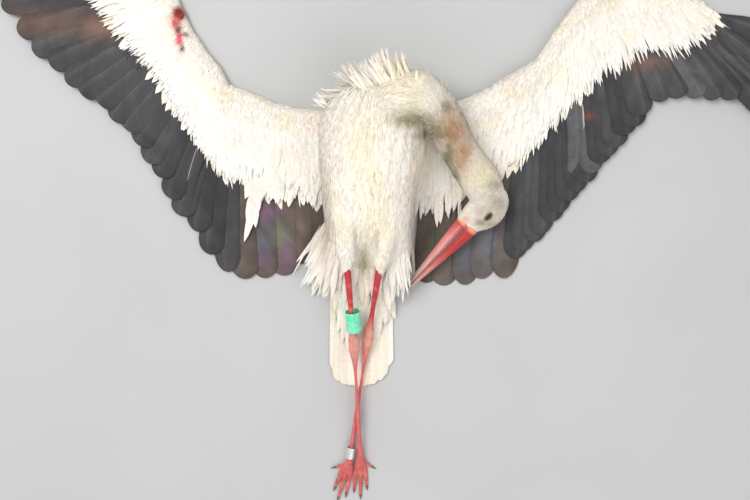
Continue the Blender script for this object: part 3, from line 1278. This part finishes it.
def tail_feathers():
    rng = np.random.default_rng(12)
    grids, tints = [], []
    for share in np.linspace(-1, 1, TAIL_COUNT):
        root = np.array((TAIL_ROOT[0] + 0.94 * TAIL_HALF_WIDTH * share, TAIL_ROOT[1], 0.0))
        heading, middle = TAIL_HEADING + TAIL_SPREAD * share, 1 - abs(share)
        reach = TAIL_LENGTH * (1 - 0.02 * share - 0.03 * share**2 - 0.10 * share**6 - 0.02 * rng.random())
        quill = Quill(root, heading, 0.0, 0.5 * TAIL_LENGTH, reach, 0.0125, 0.0012 + 0.002 * middle, 0.97)
        grid = quill_grid(quill, 1 if share < 0 else -1, rng, rng.uniform(-0.003, 0.003), 0.10)
        grid[0][..., 2] += 0.0016 * middle + 0.0003 * rng.random()
        grids.append(grid)
        tint = quill_tint(grid[2], TAIL_WHITE, TAIL_SHAFT, rng)
        stains = plumage(grid[0].reshape(-1, 3)).reshape(tint.shape)
        tints.append(np.clip(stains * (0.75 + 0.3 * tint), 0, 0.95))
    quill_piece("tail_feathers", grids, tints, "white_plumage", "white", "tail")


# ---------------------------------------------------------------- single plumes

# Loose plumes of the breast, which stand out over its edge, and of the bend of the neck, which lie down:
# root, the way they lie, length, half width, lift of the tip, how many, how far apart their roots lie and
# how far their ways differ.
BREAST_PLUMES = (
    ((0.002, 0.2, 0.118), (-0.76, 0.64, 0.0), 0.062, 0.0023, 0.004, 5, 0.006, 0.04),
    ((-0.008, 0.192, 0.118), (-0.92, 0.38, 0.0), 0.052, 0.0021, 0.004, 5, 0.006, 0.06),
    ((-0.034, 0.172, 0.112), (-0.98, 0.06, 0.0), 0.04, 0.002, 0.004, 6, 0.008, 0.09),
    ((-0.052, 0.146, 0.1), (-0.9, 0.4, 0.0), 0.03, 0.0018, 0.004, 10, 0.012, 0.16),
    ((-0.01, 0.18, 0.12), (-0.7, 0.7, 0.0), 0.034, 0.0019, 0.004, 12, 0.018, 0.18),
    ((0.006, 0.188, 0.126), (-0.62, 0.78, 0.0), 0.044, 0.0036, 0.003, 46, 0.026, 0.12),
    ((0.03, 0.194, 0.124), (-0.45, 0.89, 0.0), 0.042, 0.0036, 0.003, 46, 0.026, 0.12),
    ((0.054, 0.194, 0.12), (-0.3, 0.95, 0.0), 0.034, 0.0032, 0.003, 30, 0.024, 0.12),
    ((0.036, 0.192, 0.12), (-0.2, 0.98, 0.0), 0.026, 0.0018, 0.003, 14, 0.02, 0.2),
    ((0.07, 0.192, 0.112), (-0.32, 0.94, 0.0), 0.026, 0.002, 0.004, 8, 0.008, 0.08),
    ((0.1, 0.186, 0.112), (-0.36, 0.93, 0.0), 0.028, 0.0021, 0.004, 8, 0.007, 0.08),
    ((0.126, 0.164, 0.104), (-0.1, 0.99, 0.0), 0.026, 0.0021, 0.004, 8, 0.007, 0.09),
)
BEND_PLUMES = (
    ((0.116, 0.13, 0.14), (-1.0, 0.1, 0.0), 0.05, 0.0018, 0.003, 60, 0.022, 0.12),
    ((0.112, 0.098, 0.125), (-0.92, -0.3, 0.0), 0.046, 0.0018, 0.004, 50, 0.014, 0.1),
    ((0.124, 0.106, 0.125), (-0.95, -0.25, 0.0), 0.042, 0.0017, 0.003, 60, 0.018, 0.12),
    ((0.104, 0.152, 0.14), (-1.0, 0.02, 0.0), 0.052, 0.0019, 0.003, 50, 0.022, 0.1),
    ((0.08, 0.148, 0.145), (-1.0, 0.0, 0.0), 0.042, 0.0019, 0.003, 40, 0.02, 0.1),
)
# Feathers that hang from the inner wings, then from the flanks: root, heading, length, half width, level,
# how many, how far apart their roots lie and their headings spread.
AXILLARIES = {
    "right": (
        ((-0.205, 0.006), 261, 0.098, 0.01, 0.0046, 4, 0.003, 1),
        ((-0.2, 0.014), 263, 0.052, 0.006, 0.0036, 12, 0.014, 6),
        ((-0.163, 0.03), 266, 0.06, 0.0078, 0.0042, 6, 0.005, 3),
        ((-0.163, 0.03), 266, 0.048, 0.005, 0.0036, 8, 0.01, 6),
        ((-0.176, 0.036), 255, 0.046, 0.0044, 0.003, 12, 0.014, 8),
        ((-0.112, 0.036), 266, 0.052, 0.0048, 0.004, 14, 0.011, 6),
        ((-0.134, 0.048), 268, 0.044, 0.0044, 0.003, 14, 0.018, 8),
        ((-0.094, 0.03), 262, 0.056, 0.0036, 0.003, 12, 0.012, 7),
    ),
    "left": (
        ((0.1, 0.066), 270, 0.07, 0.005, 0.001, 18, 0.022, 5),
        ((0.128, 0.06), 270, 0.07, 0.005, 0.0014, 20, 0.024, 5),
        ((0.104, 0.018), 270, 0.06, 0.004, 0.003, 18, 0.016, 6),
        ((0.134, 0.01), 270, 0.06, 0.004, 0.003, 20, 0.02, 6),
        ((0.164, 0.018), 268, 0.056, 0.0036, 0.003, 16, 0.018, 7),
    ),
}
FLANKS = (
    ((-0.073, -0.074), 247, 0.102, 0.0042, 0.003, 30, 0.012, 8),
    ((-0.068, -0.09), 254, 0.096, 0.0044, 0.0034, 34, 0.016, 9),
    ((-0.062, -0.116), 262, 0.082, 0.0044, 0.004, 26, 0.018, 8),
    ((-0.07, -0.08), 250, 0.104, 0.0017, 0.004, 22, 0.014, 11),
    ((0.066, -0.096), 272, 0.074, 0.0028, 0.003, 26, 0.018, 8),
    ((0.056, -0.12), 270, 0.07, 0.003, 0.0036, 24, 0.018, 8),
)


def plumes(coat, name, groups, seed, hug, flat):
    """Narrow plumes that follow the skin for the first hug of their length and then run straight on.
    flat is how far their ways are turned down on to the skin."""
    rng = np.random.default_rng(seed)
    rows = []
    for root, lie, length, half, lift, count, apart, stray in groups:
        for _ in range(count):
            start = Vector(np.array(root) + rng.normal(0, 0.5 * apart, 3) * (1, 1, 0.5))
            near, normal, _, _ = coat.tree.find_nearest(start)
            direction, normal = unit(np.array(lie) + stray * rng.standard_normal(3)), np.array(normal)
            onto = unit(direction - flat * (direction @ normal) * normal)
            size, wide = length * rng.uniform(0.7, 1.15), half * rng.uniform(0.7, 1.25)
            rows.append((near, normal, onto, size, wide, lift * rng.uniform(0.4, 1.3)))
    roots, normals, lies, lengths, halves, lifts = gathered(rows)
    centres, ups = grown(coat.tree, roots, normals, lies, lengths, lifts, POINTED, hug)
    ups = square_to(ups, unit(np.gradient(centres, axis=1)))
    ups *= np.where(ups[..., 2].mean(axis=1) < 0, -1, 1)[:, None, None]  # every plume's face is turned up
    steps = np.diff(centres, axis=1)
    onward = (steps[:, 1:] * steps[:, :-1]).sum(axis=2).min(axis=1) > 0  # the others double back
    onward &= (ups[..., 2] > 0.1).all(axis=1)  # and these are twisted
    white_vanes(name, centres[onward], halves[onward], seed + 1, ups=ups[onward])


def hanging(tree, name, groups, seed, highest):
    """Feathers that lie over the flight feathers beside the body."""
    rng = np.random.default_rng(seed)
    rows = []
    for root, heading, length, half, rise, count, apart, spread in groups:
        for _ in range(count):
            start = np.array((*root, 0.0)) + rng.normal(0, 0.5 * apart, 3) * (1, 1.2, 0)
            turned = way(heading + spread * rng.normal(0, 0.5))
            size, wide = length * rng.uniform(0.75, 1.1), half * rng.uniform(0.75, 1.2)
            rows.append((start, turned, size, wide, rise + 0.0012 * rng.random()))
    roots, ways, lengths, halves, layers = gathered(rows)
    bends = rng.normal(0, 0.09, len(lengths))
    centres = laid(tree, roots, ways, lengths, PLUME, layers, 0.0024, COVERT_LOWEST, highest, bends)
    white_vanes(name, centres, halves, seed + 1, 0.35, PLUME)


# ---------------------------------------------------------------- head: bill, lids, eyes

BILL_ROWS, BILL_ARC = 60, 17
BILL_RED, BILL_PINK = (0.55, 0.03, 0.03), (0.74, 0.27, 0.24)
BILL_PALE, BILL_DARK = (0.58, 0.44, 0.34), (0.12, 0.025, 0.02)
NOSTRIL_DARK, GAPE_DARK = (0.03, 0.01, 0.01), (0.30, 0.05, 0.03)
HEAD_SHARP = 60  # degrees between faces at which an edge of the head's pieces shows


def mandible(name, rise, column):
    """Half of the bill, its cutting edges drawn in along the gape. rise is 1 for the upper half and -1 for
    the lower one, column is that half's height in the bill's table."""
    _, crown, right = head_frame()
    turn = np.linspace(0, math.pi, BILL_ARC)
    from_edge, from_keel = np.minimum(turn, math.pi - turn), np.abs(turn - math.pi / 2)
    tuck, keel = 1 - 0.16 * bell(from_edge, 0.16), 1 + 0.05 * bell(from_keel, 0.30)
    points, tint, lie = [], [], []
    for share in np.linspace(0, 1, BILL_ROWS):
        row = read(BILL, share)
        groove = 1 - 0.05 * bell(from_keel - 0.75, 0.16) * (share < 0.5)
        across = row[0] * np.cos(turn) * tuck * groove
        up = 0.0002 + row[column] * np.sin(turn) ** 0.92 * keel * groove
        middle = head_point(BILL_START + share * BILL_LENGTH, 0.0)
        points.append(middle + across[:, None] * right + (rise * up)[:, None] * crown)
        if rise > 0:
            body = mixed(BILL_RED, BILL_PINK, smooth_step(0.30, 0.75, share))
            body = mixed(body, BILL_PALE, smooth_step(0.65, 1.0, share))
        else:
            body = mixed(BILL_PINK, BILL_PALE, smooth_step(0.35, 0.95, share))
            body = mixed(body, BILL_RED, 0.75 * (1 - smooth_step(0.0, 0.30, share)))
        shade = mixed(body, BILL_DARK, 0.85 * bell(from_edge, 0.20))
        if rise > 0:
            slit = bell(share - 0.13, 0.035) * bell(from_keel - 0.72, 0.07)
            shade = mixed(shade, NOSTRIL_DARK, 0.9 * slit)
        tint.append(shade)
        lie.append(np.column_stack((across, np.full(BILL_ARC, share * BILL_LENGTH), up * rise)))
    faces = ring_faces(BILL_ROWS, BILL_ARC)[:, ::rise]
    made = build_mesh(f"{name}_shell", points, faces, LOOKS["horn"], tint, lie)
    hand_in(tidied(made, HEAD_SHARP), "red_horn", name)


LID_RINGS, LID_POINTS, LID_THICKNESS = 14, 48, 0.0006
LID_OPEN, LID_OUTER = (0.0068, 0.0021), (0.011, 0.0068)  # half axes of the opening and of the bare skin
LID_DARK, LID_EDGE, LID_PALE = (0.1, 0.065, 0.045), (0.2, 0.13, 0.1), (0.34, 0.26, 0.2)
LID_SLANT = 0.0012  # how far the front corner of the eye runs on towards the bill


def lid_ring(coat, flat, share, centre, outward):
    """One ring of the lids' outer face, just clear of the skin or of the eyeball, whichever stands out."""
    forward, crown, _ = head_frame()
    dome = np.sqrt(np.clip((EYE_RADIUS + 0.0008) ** 2 - np.linalg.norm(flat, axis=1) ** 2, 0, None))
    ring = []
    for (u, v), rise in zip(flat, dome):
        at = centre + u * forward + v * crown
        hit = coat.tree.ray_cast(Vector(at + 0.05 * outward), Vector(-outward))[0]
        skin = (np.array(hit) - at) @ outward if hit else 0.0
        fall = max(skin + 0.0012, rise) if share < 0.97 else skin - 0.0004
        ring.append(at + (rise - 0.0012 if share == 0 else fall) * outward)
    return ring


def lids(coat, side, sign):
    """The bare skin round an eye, with an almond opening between its lids."""
    outward = sign * head_frame()[2]
    centre = head_point(EYE_U, EYE_V, sign * EYE_W)
    turns = turns_of(LID_POINTS)
    slit = 1 - 0.35 * np.abs(np.cos(turns)) ** 1.6
    inner = np.column_stack((LID_OPEN[0] * np.cos(turns), LID_OPEN[1] * np.sin(turns) * slit))
    outer = np.column_stack((LID_OUTER[0] * np.cos(turns) + LID_SLANT, LID_OUTER[1] * np.sin(turns)))
    upper, tint = [], []
    for share in np.linspace(0, 1, LID_RINGS):
        flat = inner + (outer - inner) * max(share - 0.06, 0) / 0.94
        upper.append(lid_ring(coat, flat, share, centre, outward))
        shade = mixed(LID_DARK, LID_EDGE, 0.7 * bell(share - 0.08, 0.06))
        shade = mixed(shade, LID_PALE, smooth_step(0.25, 0.9, share))
        tint.append(np.broadcast_to(shade, (LID_POINTS, 3)))
    upper = np.array(upper)
    lower = upper - LID_THICKNESS * outward
    for layer, _ in itertools.product((upper, lower), range(2)):
        layer[1:-1] = 0.5 * layer[1:-1] + 0.25 * (layer[:-2] + layer[2:])
    faces = ring_faces(2 * LID_RINGS, LID_POINTS, closed=True)
    points = np.concatenate((upper, lower[::-1]))
    made = build_mesh(f"lids_{side}", points, faces, LOOKS["orbit"], tint + tint[::-1])
    hand_in(tidied(made, HEAD_SHARP), "dark_horn")


def eyeball(side, sign):
    """A smooth glossy ball in the place of the plain one."""
    bm = bmesh.new()
    bmesh.ops.create_uvsphere(bm, u_segments=48, v_segments=32, radius=EYE_RADIUS)
    name = f"eyeball_{side}"
    made = placed(name, mesh_from(bm, name), LOOKS["eye"])
    made.location = head_point(EYE_U, EYE_V, sign * EYE_W)
    hand_in(made, "eye", f"eye_{side}")


BASE_ROWS, BASE_POINTS = 12, 48
BASE_REACH, BASE_WALL = (-0.006, 0.0085), 0.0007  # from inside the head to where it runs out on the bill


def bill_base():
    """The bare skin round the root of the bill, between the feathers and the horn."""
    _, crown, right = head_frame()
    turns = turns_of(BASE_POINTS)
    wide, high = np.cos(turns) * (1 - 0.05 * bell(np.sin(turns), 0.20)), np.abs(np.sin(turns)) ** 0.92
    rings, tint = [], []
    shares = np.linspace(0, 1, BASE_ROWS)
    for share, wall in [(s, 0.0) for s in shares] + [(s, BASE_WALL) for s in shares[::-1]]:
        u = BASE_REACH[0] + share * (BASE_REACH[1] - BASE_REACH[0])
        half_width, upper, lower = read(BILL, max((u - BILL_START) / BILL_LENGTH, 0.0))
        swell = 0.0012 * (1 - smooth_step(0.2, 1.0, share)) + 0.0002 - wall
        height = np.where(np.sin(turns) > 0, upper, lower)
        across, up = (half_width + swell) * wide, (height + swell) * np.sign(np.sin(turns)) * high
        rings.append(head_point(u, 0.0) + across[:, None] * right + up[:, None] * crown)
        body = mixed(GAPE_PINK, BILL_RED, smooth_step(0.45, 1.0, share))
        tint.append(mixed(body, GAPE_DARK, 0.8 * bell(np.sin(turns), 0.16)))
    faces = ring_faces(len(rings), BASE_POINTS, closed=True)
    hand_in(tidied(build_mesh("bill_base", rings, faces, LOOKS["orbit"], tint), HEAD_SHARP), "red_skin")


# ---------------------------------------------------------------- legs

LEG_POINTS = 24
SHANK_RED, ANKLE_PINK = (0.58, 0.035, 0.045), (0.8, 0.36, 0.27)
TARSUS_PINK, TOE_RED = (0.74, 0.15, 0.15), (0.66, 0.12, 0.1)
LEG_STAIN, LEG_VOXEL, LEG_ROUNDS = (0.80, 0.36, 0.28), 0.0009, 3


def tube(name, middles, ways, widths, heights, count=LEG_POINTS):
    """A closed tube through these middles, its half widths and half heights along the two ways."""
    side, up = ways
    turn = turns_of(count)
    bm = bmesh.new()
    loops = []
    for m, w, h in zip(middles, widths, heights):
        ring = m + np.outer(w * np.cos(turn), side) + np.outer(h * np.sin(turn), up)
        loops.append([bm.verts.new(p) for p in ring])
    for near, far in zip(loops, loops[1:]):
        for i in range(count):
            bm.faces.new((near[i], near[(i + 1) % count], far[(i + 1) % count], far[i]))
    bm.faces.new(loops[0])
    bm.faces.new(loops[-1])
    bmesh.ops.recalc_face_normals(bm, faces=bm.faces)
    return mesh_from(bm, name)


def limb(name, start, end, table):
    start, end, shares = np.array(start), np.array(end), np.linspace(0, 1, 30)
    sizes = np.array([read(table, s) for s in shares])
    middles = [start + s * (end - start) for s in shares]
    return tube(name, middles, crossways(unit(end - start)), *sizes.T)


TOE_SHARES, TOE_SIZES = (0.0, 0.25, 0.34, 0.55, 0.64, 0.85, 1.0), (1.0, 0.86, 1.06, 0.80, 0.98, 0.70, 0.62)
SOLE = 0.0042  # how high the middles of the toes' roots lie
WEB = ((0.012, 0.010, 0.0022), (0.026, 0.0128, 0.0014), (0.038, 0.0108, 0.0010))  # reach, half width, height


def foot_parts(side):
    """Meshes of the ball of the foot, its toes and the small webs between them, and each claw's place."""
    ball_at, heading = np.array(LEGS[side]["ball"]), LEGS[side]["toes"]
    outward = SIDES[side]
    forward, level = way(heading), (way(heading + 90), UP)
    drop = (ball_at[2] - SOLE) / BALL[-1][0]
    middles = [ball_at + d * forward - drop * d * UP for d, _, _ in BALL]
    parts = [tube("ball", middles, level, *np.array(BALL).T[1:])]
    claws = []
    for name, beside, turn, length, half in (*TOES, HIND_TOE):
        direction = way(heading + outward * turn)
        root = ball_at + (0, 0, SOLE - ball_at[2])
        if name == "hind":
            root = root + 0.006 * forward + 0.001 * UP
        else:
            root = root + 0.014 * forward + 0.86 * beside * way(heading + 90 * outward)
            length = length + 0.0104
        tip = root + length * direction
        tip[2] = half * 0.45
        rings = [root + share * (tip - root) for share in TOE_SHARES]
        radii = half * np.array(TOE_SIZES)
        parts.append(tube(name, rings, crossways(unit(tip - root)), radii, 0.92 * radii))
        claws.append((name, tip, direction, half))
    reaches, widths, heights = zip(*WEB)
    web = [ball_at + d * forward + (0.0030 - ball_at[2]) * UP for d in reaches]
    return [*parts, tube("web", web, level, widths, heights)], claws


def leg_tint(side, points):
    garter, ankle, ball_at = (-LEGS[side][k][1] for k in ("garter", "ankle", "ball"))
    stops = (garter - 0.03, ankle - 0.045, ankle - 0.012, ankle + 0.012)
    stops = (*stops, ankle + 0.05, ball_at - 0.02, ball_at + 0.04)
    shades = (SHANK_RED, SHANK_RED, ANKLE_PINK, ANKLE_PINK, TARSUS_PINK, TARSUS_PINK, TOE_RED)
    tint = columns([(stop, *shade) for stop, shade in zip(stops, shades)], -points[:, 1])
    return mixed(tint, LEG_STAIN, 0.35 * smooth_step(0.0, 0.6, waver(points, 0.012, 3.0)))


def leg(side):
    garter, ankle, ball_at = (LEGS[side][k] for k in ("garter", "ankle", "ball"))
    shank = limb("shank", np.array(garter) + (0, 0.022, 0.010), ankle, SHANK)
    tarsus = limb("tarsus", ankle, ball_at, TARSUS)
    parts, claws = foot_parts(side)
    skin = fused(f"leg_{side}_skin", [shank, tarsus, *parts], LEG_VOXEL, LEG_ROUNDS, LOOKS["leg"])
    points = points_of(skin.data)
    lift_over(skin.data, points, 0.0003)
    paint(skin.data, leg_tint(side, points))
    toes = [f"toe_{side}_{toe[0]}" for toe in (*TOES, HIND_TOE)]
    hand_in(skin, "red_skin", f"shank_{side}", f"tarsus_{side}", f"foot_{side}", *toes)
    for place in claws:
        claw(side, *place)


def claw(side, name, tip, direction, half):
    """A blunt, slightly hooked claw."""
    middles, widths = [], []
    for share in np.linspace(0, 1, 10):
        drop = 0.0016 * share**2
        middle = tip - 0.002 * direction + (CLAW_LENGTH + 0.001) * share * direction + (0.0008 - drop) * UP
        widths.append(half * (0.62 - 0.50 * share**1.4))
        middle[2] = max(middle[2], widths[-1] + 0.0002)
        middles.append(middle)
    level = (unit(np.cross(direction, UP)), UP)
    nail = tube(f"nail_{side}_{name}", middles, level, widths, widths, 12)
    hand_in(placed(nail.name, nail, LOOKS["claw"]), "dark_horn", f"claw_{side}_{name}")


RING_STEPS, RING_SHARP, OVERLAP = 64, 45, 1.15  # the lip under an overlap lies this many walls further in
# Half of a band's outline: place along the leg against its height, and how far it is filled out there.
RING_EDGE = ((-0.5, 0.15), (-0.485, 0.75), (-0.46, 1.0), (0.46, 1.0), (0.485, 0.75), (0.5, 0.15))


def leg_ring(name, start, end, ring):
    """A band wrapped round the leg, its edges rounded, its ends meeting or overlapping by its turns."""
    start, end, wall, turns, gap = np.array(start), np.array(end), ring["wall"], ring["turns"], ring["gap"]
    direction = unit(end - start)
    side, up = crossways(direction)
    middle = start + ring["share"] * (end - start) + np.array(ring["hang"], float)
    points = []
    for t in np.linspace(0, 1, RING_STEPS):
        angle = gap + t * (turns * 2 * math.pi - (gap if turns <= 1 else 0))
        inwards = wall * OVERLAP * (1 - smooth_step(0.0, 1.0, t)) if turns > 1 else 0.0
        outer = ring["outer"] - inwards
        ray = math.cos(angle) * side + math.sin(angle) * up
        rounded = [(place, wall * (1 - fill) * 0.5) for place, fill in RING_EDGE]
        outline = [(place, outer - cut) for place, cut in rounded]
        outline += [(place, outer - wall + cut) for place, cut in rounded[::-1]]
        points += [middle + place * ring["tall"] * direction + radius * ray for place, radius in outline]
    faces = ring_faces(RING_STEPS, 2 * len(RING_EDGE), ends=True)
    made = build_mesh(name, points, faces, LOOKS[ring["look"]])
    hand_in(tidied(made, RING_SHARP), ring["slot"], f"leg_{name}")


# ---------------------------------------------------------------- stage


def staged(name, data, place, turned):
    """A camera or a light at its place."""
    made = bpy.data.objects.new(name, data)
    made.location, made.rotation_euler = place, turned
    bpy.context.scene.collection.objects.link(made)
    return made


def camera_and_light():
    scene = bpy.context.scene
    lens = bpy.data.cameras.new("camera")
    lens.lens, lens.sensor_width = 42.2, 36.0
    scene.camera = staged("camera", lens, (0.0145, 0.1137, 1.6344), (math.radians(-8.0), 0, 0))
    for name, place, size, power in (
        ("key", (-1.2, 1.0, 2.6), 1.5, 60.0), ("fill", (1.8, -0.6, 2.2), 2.2, 16.0),
        ("rear", (0.2, -2.2, 1.6), 1.8, 11.0),
    ):
        lamp = bpy.data.lights.new(name, "AREA")
        lamp.size, lamp.energy = size, power
        staged(name, lamp, place, (-Vector(place)).to_track_quat("-Z", "Y").to_euler())
    scene.view_settings.view_transform = "Standard"
    scene.world = bpy.data.worlds.new("world")
    scene.world.use_nodes = True
    sky = scene.world.node_tree.nodes["Background"].inputs
    sky["Color"].default_value, sky["Strength"].default_value = (0.95, 0.97, 1.0, 1), 0.58


def floor():
    size, low = 6.0, -0.0003
    corners = [(-size, -size, low), (size, -size, low), (size, size, low), (-size, size, low)]
    build_mesh("floor", corners, [(0, 1, 2, 3)], LOOKS["floor"])


def build():
    coat = Coat()
    coat_of(coat, "trunk", 1, body_open)
    coat_of(coat, "neck", 2, over_floor, POINTED)
    body_feathers(coat, "coat_head", "head", 3, SMALL, face_open)
    for side, sign in SIDES.items():
        coat_of(coat, f"thigh_{side}", 4 + sign, thigh_open(side))
        coat_of(coat, f"wing_{side}", 8 + sign, wing_top)
        covert_rows(coat, side)
        flight_feathers(side)
        leg(side)
        lids(coat, side, -sign)
        eyeball(side, -sign)
    loose_feathers()
    tail_feathers()
    tail_coverts(coat)
    plumes(coat, "breast_plumes", BREAST_PLUMES, 70, 0.2, 0.42)
    plumes(coat, "bend_plumes", BEND_PLUMES, 72, 1.0, 0.85)
    for side, sign in SIDES.items():
        hanging(coat.parts[f"wing_{side}"], f"axillaries_{side}", AXILLARIES[side], 80 + sign, 0.040)
    hanging(coat.parts["trunk"], "flank_plumes", FLANKS, 82, 0.075)
    bill_base()
    mandible("bill_upper", 1, 1)
    mandible("bill_lower", -1, 2)
    right, left = (LEGS[side] for side in ("right", "left"))
    leg_ring("ring_green", right["garter"], right["ankle"], GREEN_RING)
    leg_ring("ring_metal", left["ankle"], left["ball"], METAL_RING)
    floor()
    camera_and_light()


build()
